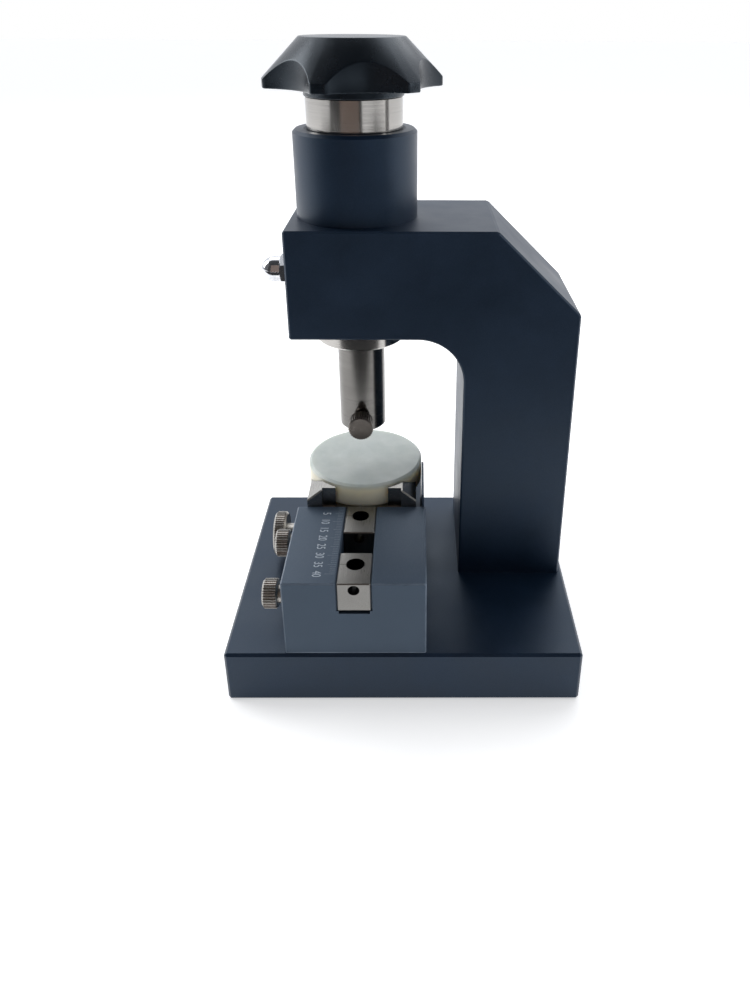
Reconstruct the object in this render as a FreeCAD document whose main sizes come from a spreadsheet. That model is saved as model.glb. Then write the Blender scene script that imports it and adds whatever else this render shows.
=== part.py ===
import FreeCAD, Part
import math
import os
import Sketcher

# Hand riveting and punching press, in millimetres.
# The origin is at the middle of the base plate's underside, +Z is up, +X is right
# and -Y is the front, where the user stands.

doc = FreeCAD.newDocument("HandPress")
sheet = doc.addObject("Spreadsheet::Sheet", "Sizes")

SIZES = {
    # base plate
    "base_width": 123.0,
    "base_depth": 98.0,
    "base_thick": 20.5,
    "base_edge": 0.9,
    # C-frame: column at the right, arm reaching left over the base
    "frame_depth": 47.5,
    "frame_right_inset": 1.8,
    "frame_back_inset": 6.5,
    "column_width": 39.0,
    "throat_reach": 37.0,
    "throat_height": 97.8,
    "throat_radius": 16.0,
    "arm_overhang": 22.8,
    "arm_height": 37.5,
    "corner_run": 29.0,
    "corner_drop": 28.4,
    "frame_edge": 0.6,
    # guide sleeve on the arm
    "sleeve_wall": 4.75,
    "sleeve_height": 29.0,
    "sleeve_edge": 1.0,
    "spigot_wall": 3.0,
    "spigot_length": 8.0,
    # ram and what moves with it
    "stroke": 10.0,
    "cap_rest_gap": 0.2,
    "ram_dia": 32.0,
    "ram_below": 7.4,
    "ram_edge": 0.6,
    "neck_dia": 16.0,
    "stud_dia": 10.0,
    "stud_length": 10.0,
    "stud_edge": 1.0,
    "stud_end_gap": 0.5,
    "cap_length": 29.0,
    "cap_roof": 6.0,
    "running_gap": 0.04,
    "thread_gap": 0.1,
    "hole_spare": 1.0,
    # return spring round the neck
    "spring_mean_dia": 19.6,
    "spring_wire": 2.2,
    "spring_turns": 6.0,
    "spring_room": 0.6,
    "spring_end_gap": 0.1,
    # six-lobed knob
    "knob_dia": 58.8,
    "knob_top_dia": 34.2,
    "knob_wall": 2.9,
    "knob_height": 15.2,
    "knob_lobes": 6.0,
    "lobe_turn": 12.8,
    "lobe_width": 5.2,
    "scallop_reach": 23.4,
    "boss_lip": 0.5,
    "boss_height": 2.6,
    "boss_edge": 0.3,
    "knob_edge": 0.7,
    # punch holder under the ram
    "holder_dia": 17.3,
    "holder_below": 36.1,
    "holder_edge": 0.8,
    "holder_shank_dia": 12.0,
    "holder_shank_length": 14.0,
    "punch_dia": 8.0,
    "punch_depth": 20.0,
    "punch_mouth": 0.5,
    "pinch_rise": 5.0,
    "pinch_thread": 4.0,
    "pinch_head_dia": 9.3,
    "pinch_head_length": 6.2,
    "pinch_head_gap": 1.0,
    "pinch_head_edge": 0.5,
    "pinch_tooth": 0.9,
    # guide screw and its cap nut
    "guide_rise": 17.7,
    "guide_thread": 6.0,
    "dog_dia": 4.0,
    "dog_length": 2.8,
    "dog_shoulder_gap": 0.4,
    "keyway_width": 4.12,
    "keyway_depth": 3.0,
    "keyway_end_gap": 0.2,
    "nut_flats": 10.0,
    "nut_height": 12.0,
    "nut_hex_height": 5.0,
    "nut_dome_dia": 9.4,
    "nut_roof": 2.5,
    "nut_foot_edge": 0.5,
    # work block with its channel
    "block_width": 48.2,
    "block_depth": 45.3,
    "block_height": 29.4,
    "block_front_inset": 1.0,
    "block_edge": 0.5,
    "channel_width": 11.4,
    "channel_depth": 12.3,
    "ledge_height": 1.2,
    "ledge_width": 0.5,
    # sliders in the channel
    "slider_length": 16.8,
    "slider_gap": 0.05,
    "slider_edge": 0.35,
    "slider_hole_dia": 6.2,
    "slider_hole_inset": 6.4,
    "slider_front_hole_dia": 3.8,
    "slider_front_hole_drop": 2.6,
    "slider_front_hole_depth": 8.0,
    # thumb screws that lock the sliders
    "clamp_rise": 21.0,
    "clamp_front_inset": 5.7,
    "clamp_back_inset": 11.5,
    "clamp_thread": 4.0,
    "clamp_head_dia": 10.0,
    "clamp_head_length": 5.2,
    "clamp_head_gap": 1.5,
    "clamp_head_edge": 0.7,
    "clamp_tooth": 0.9,
    "clamp_collar_dia": 6.4,
    # vise behind the block, which holds the pad
    "vise_gap": 0.1,
    "vise_depth": 43.5,
    "vise_height": 18.0,
    "jaw_reach": 20.5,
    "jaw_split": 1.4,
    "jaw_ledge_height": 9.85,
    "jaw_ledge_depth": 42.5,
    "jaw_lip_inset": 2.0,
    "jaw_top_height": 8.25,
    "jaw_lip_start": 9.9,
    "jaw_tab_start": 14.9,
    "jaw_tab_edge": 0.5,
    "jaw_slope_start": 15.4,
    "jaw_slope_drop": 4.2,
    "jaw_travel": 6.0,
    "tongue_width": 9.8,
    "tongue_depth": 11.2,
    "tongue_length": 6.4,
    "tongue_side_gap": 0.1,
    "tongue_foot_gap": 0.4,
    "tongue_rest_gap": 0.6,
    "screw_inset": 7.55,
    "screw_drop": 6.6,
    "rod_inset": 34.5,
    "spindle_dia": 6.0,
    "vise_wall": 4.0,
    "collar_dia": 9.2,
    "collar_length": 2.6,
    "collar_side_gap": 0.2,
    "jaw_knob_dia": 17.3,
    "jaw_knob_length": 4.7,
    "jaw_knob_standoff": 9.5,
    "jaw_knob_hub_dia": 8.0,
    "jaw_knob_edge": 0.8,
    "jaw_knob_tooth": 0.95,
    "jaw_knob_face": 1.5,
    # fence plate at the right of the vise
    "fence_thick": 0.8,
    "fence_lift": 0.2,
    "fence_inset": 0.6,
    "fence_length": 24.0,
    "fence_height": 34.2,
    # round pad
    "pad_dia": 44.6,
    "pad_thick": 9.7,
    "pad_side_shift": 0.3,
    "pad_back_shift": 2.2,
    "pad_edge": 0.8,
    "pad_rest_gap": 0.05,
    "pad_lip_gap": 0.3,
    # hidden fasteners
    "frame_screw_dia": 6.0,
    "frame_screw_head": 10.0,
    "frame_screw_head_height": 6.0,
    "frame_screw_spread_x": 22.0,
    "frame_screw_spread_y": 30.0,
    "frame_screw_grip": 14.0,
    "small_screw_dia": 5.0,
    "small_screw_head": 8.5,
    "small_screw_head_height": 5.0,
    "small_screw_grip": 10.0,
    "vise_screw_grip": 6.0,
    "block_screw_spread": 30.0,
    "vise_screw_spread": 30.0,
    "head_pocket": 6.5,
    "screw_clearance": 0.4,
    "head_clearance": 0.6,
    "jaw_screw_dia": 3.0,
    "jaw_screw_head": 5.6,
    "jaw_screw_grip": 6.0,
    "jaw_screw_sink": 4.2,
    "jaw_screw_inset": 10.0,
    "jaw_screw_spread": 20.0,
    "fence_screw_spread": 14.0,
    "fence_screw_head_height": 0.7,
}
for row, (alias, number) in enumerate(SIZES.items(), start=1):
    sheet.set(f"A{row}", alias)
    sheet.set(f"B{row}", str(number))
    sheet.setAlias(f"B{row}", alias)
doc.recompute()


class SizeNames:
    """Writes a size as the sheet's own cell, ready to go into an expression."""

    def __getattr__(self, alias):
        if alias not in SIZES:
            raise AttributeError(alias)
        return f"Sizes.{alias}"


S = SizeNames()


def value(expression):
    """The number that an expression on the sheet gives now."""
    result = sheet.evalExpression(str(expression))
    return float(getattr(result, "Value", result))


# Places that several pieces share, written once as expressions.
BASE_TOP = S.base_thick
COLUMN_RIGHT = f"({S.base_width} / 2 - {S.frame_right_inset})"
COLUMN_LEFT = f"({COLUMN_RIGHT} - {S.column_width})"
COLUMN_MIDDLE = f"({COLUMN_RIGHT} - {S.column_width} / 2)"
SLEEVE_DIA = f"({S.ram_dia} + 2 * {S.sleeve_wall})"
SPIGOT_DIA = f"({S.ram_dia} + 2 * {S.spigot_wall})"
BOSS_DIA = f"({S.ram_dia} + 2 * {S.boss_lip})"
AXIS_X = f"({COLUMN_LEFT} - {S.throat_reach})"
AXIS_Y = f"({S.base_depth} / 2 - {S.frame_back_inset} - {S.frame_depth} / 2)"
ARM_LEFT = f"({AXIS_X} - {S.arm_overhang})"
ARM_BOTTOM = f"({BASE_TOP} + {S.throat_height})"
ARM_TOP = f"({ARM_BOTTOM} + {S.arm_height})"
SLEEVE_TOP = f"({ARM_TOP} + {S.sleeve_height})"
FLANGE_BOTTOM = f"({ARM_TOP} - {S.spigot_length})"
RAM_SHOULDER = f"({FLANGE_BOTTOM} - {S.running_gap})"
RAM_BOTTOM = f"({ARM_BOTTOM} - {S.ram_below})"
CAP_TOP = f"({SLEEVE_TOP} + {S.stroke} + {S.cap_rest_gap})"
CAP_BOTTOM = f"({CAP_TOP} - {S.cap_length})"
KNOB_BOTTOM = f"({CAP_TOP} + {S.boss_height})"
HOLDER_BOTTOM = f"({RAM_BOTTOM} - {S.holder_below})"
PINCH_Z = f"({HOLDER_BOTTOM} + {S.pinch_rise})"
GUIDE_Z = f"({ARM_BOTTOM} + {S.guide_rise})"
BLOCK_FRONT = f"(-{S.base_depth} / 2 + {S.block_front_inset})"
BLOCK_BACK = f"({BLOCK_FRONT} + {S.block_depth})"
BLOCK_TOP = f"({BASE_TOP} + {S.block_height})"
BLOCK_LEFT = f"({AXIS_X} - {S.block_width} / 2)"
BLOCK_RIGHT = f"({AXIS_X} + {S.block_width} / 2)"
CLAMP_Z = f"({BASE_TOP} + {S.clamp_rise})"
CHANNEL_FLOOR = f"({BLOCK_TOP} - {S.channel_depth})"
SLIDER_BOTTOM = f"({CHANNEL_FLOOR} + {S.ledge_height})"
VISE_FRONT = f"({BLOCK_BACK} + {S.vise_gap})"
VISE_LEFT = f"({AXIS_X} - {S.jaw_reach})"
VISE_RIGHT = f"({BLOCK_RIGHT} - {S.fence_inset} - {S.fence_thick})"
VISE_TOP = f"({BASE_TOP} + {S.vise_height})"
JAW_BOTTOM = f"({VISE_TOP} + {S.pad_rest_gap})"
LEDGE_TOP = f"({JAW_BOTTOM} + {S.jaw_ledge_height})"
SPINDLE_Y = f"({VISE_FRONT} + {S.screw_inset})"
SPINDLE_Z = f"({VISE_TOP} - {S.screw_drop})"
ROD_Y = f"({VISE_FRONT} + {S.rod_inset})"
SLOT_LENGTH = (f"({S.jaw_travel} + {S.tongue_length} + {S.collar_length}"
               f" + 2 * {S.tongue_rest_gap})")
PAD_X = f"({AXIS_X} + {S.pad_side_shift})"
PAD_Y = f"({AXIS_Y} + {S.pad_back_shift})"
PAD_BOTTOM = f"({LEDGE_TOP} + {S.pad_rest_gap})"


# ---------------------------------------------------------------- helpers

finished = []


def origin_feature(body, role):
    """One of a body's own origin planes or axes."""
    for feature in body.Origin.OriginFeatures:
        if feature.Role == role:
            return feature
    raise ValueError(role)


def place(thing, x="0", y="0", z="0"):
    """Bind an object's position to expressions."""
    thing.setExpression("Placement.Base.x", str(x))
    thing.setExpression("Placement.Base.y", str(y))
    thing.setExpression("Placement.Base.z", str(z))


def new_body(label, x="0", y="0", z="0"):
    """An empty PartDesign body with its reference point at x, y, z."""
    body = doc.addObject("PartDesign::Body", label)
    body.Label = label
    place(body, x, y, z)
    finished.append(body)
    return body


def new_sketch(body, name, role, x="0", y="0", lift="0"):
    """A sketch on one of the body's origin planes, its origin moved to x, y."""
    sketch = body.newObject("Sketcher::SketchObject", name)
    sketch.AttachmentSupport = [(origin_feature(body, role), "")]
    sketch.MapMode = "FlatFace"
    sketch.setExpression("AttachmentOffset.Base.x", str(x))
    sketch.setExpression("AttachmentOffset.Base.y", str(y))
    sketch.setExpression("AttachmentOffset.Base.z", str(lift))
    return sketch


def bind(sketch, kind, geometry, expression):
    """Add a constraint whose value is an expression on the sheet."""
    index = sketch.addConstraint(Sketcher.Constraint(kind, *geometry, value(expression)))
    sketch.setExpression(f"Constraints[{index}]", str(expression))


def circle(sketch, diameter):
    """A circle round the sketch's origin."""
    radius = f"({diameter}) / 2"
    centre = FreeCAD.Vector(0, 0, 0)
    normal = FreeCAD.Vector(0, 0, 1)
    index = sketch.addGeometry(Part.Circle(centre, normal, value(radius)), False)
    sketch.addConstraint(Sketcher.Constraint("Coincident", index, 3, -1, 1))
    bind(sketch, "Radius", (index,), radius)


def outline(sketch, corners):
    """A closed polygon through corners, each one a pair of expressions."""
    points = [FreeCAD.Vector(value(x), value(y), 0) for x, y in corners]
    first = sketch.GeometryCount
    count = len(points)
    for number in range(count):
        line = Part.LineSegment(points[number], points[(number + 1) % count])
        sketch.addGeometry(line, False)
    for number in range(count):
        following = first + (number + 1) % count
        sketch.addConstraint(
            Sketcher.Constraint("Coincident", first + number, 2, following, 1))
    for number, (x, y) in enumerate(corners):
        corner = first + number
        if str(x) == "0":
            sketch.addConstraint(Sketcher.Constraint("PointOnObject", corner, 1, -2))
        else:
            bind(sketch, "DistanceX", (-1, 1, corner, 1), x)
        if str(y) == "0":
            sketch.addConstraint(Sketcher.Constraint("PointOnObject", corner, 1, -1))
        else:
            bind(sketch, "DistanceY", (-1, 1, corner, 1), y)


def rectangle(sketch, width, height):
    """A rectangle centred on the sketch's origin."""
    half_width = f"({width}) / 2"
    half_height = f"({height}) / 2"
    outline(sketch, [
        (f"-{half_width}", f"-{half_height}"),
        (f"{half_width}", f"-{half_height}"),
        (f"{half_width}", f"{half_height}"),
        (f"-{half_width}", f"{half_height}"),
    ])


def pad(body, name, sketch, length):
    """Add material from the sketch along its normal."""
    feature = body.newObject("PartDesign::Pad", name)
    feature.Profile = sketch
    feature.setExpression("Length", str(length))
    doc.recompute()
    return feature


def pocket(body, name, sketch, length, forward=False):
    """Cut from the sketch, against its normal or, when forward, along it."""
    before = body.Shape.Volume
    feature = body.newObject("PartDesign::Pocket", name)
    feature.Profile = sketch
    feature.setExpression("Length", str(length))
    feature.Reversed = forward
    doc.recompute()
    if not body.Shape.Volume < before - 1e-6:
        raise RuntimeError(f"{body.Label}.{name} cuts nothing")
    return feature


def revolve(body, name, corners):
    """Turn a profile of radius and height pairs round the body's Z axis."""
    sketch = new_sketch(body, name + "Profile", "XZ_Plane")
    outline(sketch, corners)
    feature = body.newObject("PartDesign::Revolution", name)
    feature.Profile = sketch
    feature.ReferenceAxis = (sketch, ["V_Axis"])
    feature.Angle = 360.0
    doc.recompute()
    return feature


def groove(body, name, corners):
    """Cut a turned profile of radius and height pairs out of the body."""
    before = body.Shape.Volume
    sketch = new_sketch(body, name + "Profile", "XZ_Plane")
    outline(sketch, corners)
    feature = body.newObject("PartDesign::Groove", name)
    feature.Profile = sketch
    feature.ReferenceAxis = (sketch, ["V_Axis"])
    feature.Angle = 360.0
    doc.recompute()
    if not body.Shape.Volume < before - 1e-6:
        raise RuntimeError(f"{body.Label}.{name} cuts nothing")
    return feature


def round_cut(body, name, role, x, y, lift, diameter, depth, forward=False):
    """A round hole from a plane parallel to one of the origin planes."""
    sketch = new_sketch(body, name + "Sketch", role, x, y, lift)
    circle(sketch, diameter)
    return pocket(body, name, sketch, depth, forward)


def edge_names(feature, wanted):
    """Names of the feature's edges that the wanted test accepts."""
    names = []
    for number, edge in enumerate(feature.Shape.Edges, start=1):
        if wanted(edge):
            names.append(f"Edge{number}")
    if not names:
        raise RuntimeError(f"{feature.Name} has no such edge")
    return names


def break_edges(body, kind, name, size, wanted):
    """Chamfer or fillet the edges of the body's tip that the test accepts."""
    tip = body.Tip
    feature = body.newObject("PartDesign::" + kind, name)
    feature.Base = (tip, edge_names(tip, wanted))
    feature.setExpression("Size" if kind == "Chamfer" else "Radius", str(size))
    doc.recompute()
    return feature


def is_straight(edge):
    return isinstance(edge.Curve, Part.Line)


def runs_along(edge, axis):
    """True when a straight edge is parallel to a unit axis."""
    if not is_straight(edge):
        return False
    return abs(abs(edge.tangentAt(edge.FirstParameter).dot(axis)) - 1) < 1e-6


def near(number, target):
    return abs(number - target) < 1e-3


def finish_shape(label, shape, x="0", y="0", z="0"):
    """A plain feature for a shape that is worked out here from the sheet."""
    feature = doc.addObject("Part::Feature", label)
    feature.Label = label
    feature.Shape = shape
    place(feature, x, y, z)
    finished.append(feature)
    return feature


X_AXIS = FreeCAD.Vector(1, 0, 0)
Y_AXIS = FreeCAD.Vector(0, 1, 0)
Z_AXIS = FreeCAD.Vector(0, 0, 1)
NO_TURN = FreeCAD.Vector(0, 0, 0)


def cylinder(diameter, length, start=0.0, direction=Z_AXIS):
    """A cylinder on an axis through the origin, from start along it."""
    return Part.makeCylinder(diameter / 2, length, direction * start, direction)


def knurled_grip(diameter, length, tooth, bevel):
    """A straight-knurled grip along +Z, standing on the origin, rims bevelled."""
    teeth = int(math.pi * diameter / tooth)
    outer = diameter / 2
    inner = outer - tooth * 0.42
    past = outer + 0.01
    points = []
    for number in range(teeth):
        for share, radius in ((0.0, inner), (0.36, outer), (0.64, outer)):
            angle = 2 * math.pi * (number + share) / teeth
            points.append(FreeCAD.Vector(radius * math.cos(angle), radius * math.sin(angle), 0))
    points.append(points[0])
    grip = Part.Face(Part.makePolygon(points)).extrude(FreeCAD.Vector(0, 0, length))
    profile = Part.makePolygon([
        FreeCAD.Vector(0, 0, 0),
        FreeCAD.Vector(outer - bevel, 0, 0),
        FreeCAD.Vector(past, 0, bevel),
        FreeCAD.Vector(past, 0, length - bevel),
        FreeCAD.Vector(outer - bevel, 0, length),
        FreeCAD.Vector(0, 0, length),
        FreeCAD.Vector(0, 0, 0),
    ])
    blank = Part.Face(profile).revolve(NO_TURN, Z_AXIS, 360)
    return grip.common(blank)


def lay_along(shape, direction):
    """Turn a shape built along +Z so that its axis lies along direction."""
    turn = FreeCAD.Rotation(Z_AXIS, direction)
    return shape.transformGeometry(FreeCAD.Placement(NO_TURN, turn).toMatrix())


def hexagon(corner_radius, length, start=0.0):
    """A hexagonal prism standing on Z, from start up."""
    points = []
    for number in range(7):
        angle = math.pi / 3 * number
        points.append(FreeCAD.Vector(
            corner_radius * math.cos(angle), corner_radius * math.sin(angle), start))
    return Part.Face(Part.makePolygon(points)).extrude(FreeCAD.Vector(0, 0, length))


def cap_screw(diameter, head, head_height, grip):
    """A socket cap screw pointing up, head underneath, shoulder at the origin."""
    socket_share = 0.48
    socket_depth_share = 0.55
    screw = cylinder(head, head_height, -head_height)
    screw = screw.fuse(cylinder(diameter, grip))
    socket = hexagon(diameter * socket_share, head_height * socket_depth_share, -head_height)
    return screw.cut(socket)


# ---------------------------------------------------------------- base plate

def screw_places(x, y, spread_x, spread_y):
    """Four pairs of expressions at the corners of a screw pattern."""
    places = []
    for side_x in ("-", "+"):
        for side_y in ("-", "+"):
            places.append((f"{x} {side_x} {spread_x} / 2", f"{y} {side_y} {spread_y} / 2"))
    return places


FRAME_SCREWS = screw_places(
    COLUMN_MIDDLE, AXIS_Y, S.frame_screw_spread_x, S.frame_screw_spread_y)
BLOCK_MIDDLE = f"({BLOCK_FRONT} + {S.block_depth} / 2)"
BLOCK_SCREWS = [
    (f"{AXIS_X} {side} {S.block_screw_spread} / 2", BLOCK_MIDDLE) for side in ("-", "+")]
VISE_MIDDLE = f"({VISE_FRONT} + {S.vise_depth} / 2)"
VISE_SCREWS = [
    (f"{AXIS_X} {side} {S.vise_screw_spread} / 2", VISE_MIDDLE) for side in ("-", "+")]


def make_base_plate():
    """A thick plate with all its edges broken, bored from below for the screws."""
    body = new_body("base_plate")
    plan = new_sketch(body, "BasePlan", "XY_Plane")
    rectangle(plan, S.base_width, S.base_depth)
    pad(body, "BasePad", plan, S.base_thick)
    break_edges(body, "Chamfer", "BaseEdges", S.base_edge, is_straight)
    groups = (
        ("Frame", FRAME_SCREWS, S.frame_screw_dia, S.frame_screw_head),
        ("Block", BLOCK_SCREWS, S.small_screw_dia, S.small_screw_head),
        ("Vise", VISE_SCREWS, S.small_screw_dia, S.small_screw_head),
    )
    for group, places, thread, head in groups:
        for number, (x, y) in enumerate(places, start=1):
            round_cut(body, f"{group}Hole{number}", "XY_Plane", x, y, "0",
                      f"{thread} + {S.screw_clearance}", S.base_thick, forward=True)
            round_cut(body, f"{group}Sink{number}", "XY_Plane", x, y, "0",
                      f"{head} + {S.head_clearance}", S.head_pocket, forward=True)


# ---------------------------------------------------------------- frame

def make_c_frame():
    """Column and arm in one piece: cut outer corner, rounded throat."""
    body = new_body("c_frame", z=BASE_TOP, y=AXIS_Y)
    side = new_sketch(body, "FrameSide", "XZ_Plane", lift=f"-{S.frame_depth} / 2")
    top = f"({S.throat_height} + {S.arm_height})"
    outline(side, [
        (COLUMN_LEFT, "0"),
        (COLUMN_RIGHT, "0"),
        (COLUMN_RIGHT, f"{top} - {S.corner_drop}"),
        (f"{COLUMN_RIGHT} - {S.corner_run}", top),
        (ARM_LEFT, top),
        (ARM_LEFT, S.throat_height),
        (COLUMN_LEFT, S.throat_height),
    ])
    pad(body, "FramePad", side, S.frame_depth)
    throat_x = value(COLUMN_LEFT)
    throat_z = value(S.throat_height)

    def throat_edge(edge):
        middle = edge.CenterOfMass
        return runs_along(edge, Y_AXIS) and near(middle.x, throat_x) and near(middle.z, throat_z)

    break_edges(body, "Fillet", "Throat", S.throat_radius, throat_edge)

    def outer_edge(edge):
        return edge.BoundBox.ZMax > 0.01

    break_edges(body, "Chamfer", "FrameEdges", S.frame_edge, outer_edge)
    round_cut(body, "RamBore", "XY_Plane", AXIS_X, "0", S.throat_height,
              f"{S.ram_dia} + 2 * {S.running_gap}", f"{S.arm_height} - {S.spigot_length}",
              forward=True)
    round_cut(body, "SpigotBore", "XY_Plane", AXIS_X, "0", top, SPIGOT_DIA, S.spigot_length)
    round_cut(body, "GuideHole", "YZ_Plane", "0", f"{S.throat_height} + {S.guide_rise}",
              ARM_LEFT, S.guide_thread, f"{S.arm_overhang}", forward=True)
    for number, (x, y) in enumerate(FRAME_SCREWS, start=1):
        round_cut(body, f"ScrewHole{number}", "XY_Plane", x, f"{y} - {AXIS_Y}", "0",
                  S.frame_screw_dia, f"{S.frame_screw_grip} + 2 * {S.hole_spare}",
                  forward=True)


def make_guide_sleeve():
    """A flanged sleeve: the wide part on the arm, the spigot in the arm's top."""
    body = new_body("guide_sleeve", AXIS_X, AXIS_Y, ARM_TOP)
    bore = f"({S.ram_dia} / 2 + {S.running_gap})"
    hole = f"({S.neck_dia} / 2 + {S.running_gap})"
    outer = f"({SLEEVE_DIA} / 2)"
    revolve(body, "Sleeve", [
        (hole, f"-{S.spigot_length}"),
        (f"{SPIGOT_DIA} / 2", f"-{S.spigot_length}"),
        (f"{SPIGOT_DIA} / 2", "0"),
        (outer, "0"),
        (outer, f"{S.sleeve_height} - {S.sleeve_edge}"),
        (f"{outer} - {S.sleeve_edge}", S.sleeve_height),
        (f"{bore} + {S.sleeve_edge}", S.sleeve_height),
        (bore, f"{S.sleeve_height} - {S.sleeve_edge}"),
        (bore, "0"),
        (hole, "0"),
    ])


# ---------------------------------------------------------------- ram

def make_ram():
    """Lower shaft that runs in the arm, necked above, with a keyway on its left."""
    body = new_body("ram", AXIS_X, AXIS_Y, RAM_BOTTOM)
    shoulder = f"({RAM_SHOULDER} - {RAM_BOTTOM})"
    neck_top = f"({CAP_TOP} - {RAM_BOTTOM})"
    radius = f"({S.ram_dia} / 2)"
    revolve(body, "Shaft", [
        ("0", "0"),
        (f"{radius} - {S.ram_edge}", "0"),
        (radius, S.ram_edge),
        (radius, f"{shoulder} - {S.ram_edge}"),
        (f"{radius} - {S.ram_edge}", shoulder),
        (f"{S.neck_dia} / 2", shoulder),
        (f"{S.neck_dia} / 2", f"{neck_top} - {S.cap_roof}"),
        (f"{S.stud_dia} / 2", f"{neck_top} - {S.cap_roof}"),
        (f"{S.stud_dia} / 2", f"{neck_top} + {S.stud_length} - {S.stud_edge}"),
        (f"{S.stud_dia} / 2 - {S.stud_edge}", f"{neck_top} + {S.stud_length}"),
        ("0", f"{neck_top} + {S.stud_length}"),
    ])
    round_cut(body, "HolderSocket", "XY_Plane", "0", "0", "0",
              S.holder_shank_dia, f"{S.holder_shank_length} + {S.hole_spare}", forward=True)
    start = f"({GUIDE_Z} - {RAM_BOTTOM} - {S.keyway_width} / 2 - {S.keyway_end_gap})"
    length = f"({shoulder} - {start} + {S.hole_spare})"
    keyway = new_sketch(body, "KeywaySketch", "YZ_Plane",
                        "0", f"{start} + {length} / 2", f"-{radius}")
    rectangle(keyway, S.keyway_width, length)
    pocket(body, "Keyway", keyway, S.keyway_depth, forward=True)


def make_ram_cap():
    """The ground cylinder above the sleeve, bored from below over the spring."""
    body = new_body("ram_cap", AXIS_X, AXIS_Y, CAP_BOTTOM)
    radius = f"({S.ram_dia} / 2)"
    bore = f"(({S.spring_mean_dia} + {S.spring_wire}) / 2 + {S.spring_room})"
    revolve(body, "Cap", [
        (bore, "0"),
        (f"{radius} - {S.ram_edge}", "0"),
        (radius, S.ram_edge),
        (radius, f"{S.cap_length} - {S.ram_edge} / 2"),
        (f"{radius} - {S.ram_edge} / 2", S.cap_length),
        (f"{S.stud_dia} / 2", S.cap_length),
        (f"{S.stud_dia} / 2", f"{S.cap_length} - {S.cap_roof}"),
        (bore, f"{S.cap_length} - {S.cap_roof}"),
    ])


def make_return_spring():
    """A coil round the neck, from the sleeve's inner flange to the cap's roof."""
    wire = value(S.spring_wire)
    radius = value(S.spring_mean_dia) / 2
    room = value(f"{CAP_TOP} - {S.cap_roof} - {ARM_TOP}")
    rise = room - wire - 2 * value(S.spring_end_gap)
    pitch = rise / value(S.spring_turns)
    path = Part.makeHelix(pitch, rise, radius)
    along = FreeCAD.Vector(0, 2 * math.pi * radius, pitch)
    section = Part.Wire(Part.makeCircle(wire / 2, FreeCAD.Vector(radius, 0, 0), along))
    coil = Part.Wire(path.Edges).makePipeShell([section], True, True)
    finish_shape("return_spring", coil, AXIS_X, AXIS_Y,
                 f"{ARM_TOP} + {S.spring_wire} / 2 + {S.spring_end_gap}")


def make_hand_knob():
    """A cone with six lobes: scallops cut in its skirt leave a flat tip on each."""
    body = new_body("hand_knob", AXIS_X, AXIS_Y, CAP_TOP)
    rim = f"({S.knob_dia} / 2)"
    skirt = f"({S.boss_height} + {S.knob_wall})"
    crown = f"({S.boss_height} + {S.knob_height})"
    revolve(body, "Cone", [
        ("0", "0"),
        (f"{BOSS_DIA} / 2 - {S.boss_edge}", "0"),
        (f"{BOSS_DIA} / 2", S.boss_edge),
        (f"{BOSS_DIA} / 2", S.boss_height),
        (rim, S.boss_height),
        (rim, skirt),
        (f"{S.knob_top_dia} / 2", crown),
        ("0", crown),
    ])
    groove(body, "StudHole", [
        ("0", "0"),
        (f"{S.stud_dia} / 2", "0"),
        (f"{S.stud_dia} / 2", f"{S.stud_length} + {S.stud_end_gap}"),
        ("0", f"{S.stud_length} + {S.stud_end_gap}"),
    ])
    # A scallop's arc meets the rim at the two tips beside it and dips to its reach
    # halfway between them.
    half_gap = f"(180 / {S.knob_lobes} - {S.lobe_width} / {rim} * 90 / pi)"
    tip_x = f"({rim} * cos({half_gap}))"
    tip_y = f"({rim} * sin({half_gap}))"
    reach = S.scallop_reach
    centre = f"(({tip_x} ^ 2 + {tip_y} ^ 2 - {reach} ^ 2) / (2 * ({tip_x} - {reach})))"
    turn = f"({S.lobe_turn} + 180 / {S.knob_lobes})"
    sketch = new_sketch(body, "ScallopSketch", "XY_Plane",
                        f"{centre} * cos({turn})", f"{centre} * sin({turn})", "0")
    circle(sketch, f"2 * ({centre} - {reach})")
    scallop = pocket(body, "Scallop", sketch, f"{crown} + {S.hole_spare}", forward=True)
    pattern = body.newObject("PartDesign::PolarPattern", "Scallops")
    pattern.Originals = [scallop]
    pattern.Axis = (origin_feature(body, "Z_Axis"), [""])
    pattern.Angle = 360.0
    pattern.Occurrences = int(value(S.knob_lobes))
    body.Tip = pattern
    doc.recompute()
    top = value(crown)
    bottom = value(S.boss_height)

    def skirt_edge(edge):
        box = edge.BoundBox
        outer = math.hypot(edge.CenterOfMass.x, edge.CenterOfMass.y) > value(BOSS_DIA) / 2 + 1
        return box.ZMax > bottom + 0.01 and (outer or near(box.ZMin, top))

    break_edges(body, "Fillet", "KnobEdges", S.knob_edge, skirt_edge)


# ---------------------------------------------------------------- punch holder

def make_punch_holder():
    """A slim quill pressed into the ram, bored from below for a punch."""
    body = new_body("punch_holder", AXIS_X, AXIS_Y, HOLDER_BOTTOM)
    radius = f"({S.holder_dia} / 2)"
    top = S.holder_below
    revolve(body, "Quill", [
        (f"{S.punch_dia} / 2 + {S.punch_mouth}", "0"),
        (f"{radius} - {S.holder_edge}", "0"),
        (radius, S.holder_edge),
        (radius, top),
        (f"{S.holder_shank_dia} / 2", top),
        (f"{S.holder_shank_dia} / 2", f"{top} + {S.holder_shank_length}"),
        ("0", f"{top} + {S.holder_shank_length}"),
        ("0", S.punch_depth),
        (f"{S.punch_dia} / 2", S.punch_depth),
        (f"{S.punch_dia} / 2", S.punch_mouth),
    ])
    round_cut(body, "PinchHole", "XZ_Plane", "0", S.pinch_rise, "0",
              S.pinch_thread, f"{radius} + {S.hole_spare}", forward=True)


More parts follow.
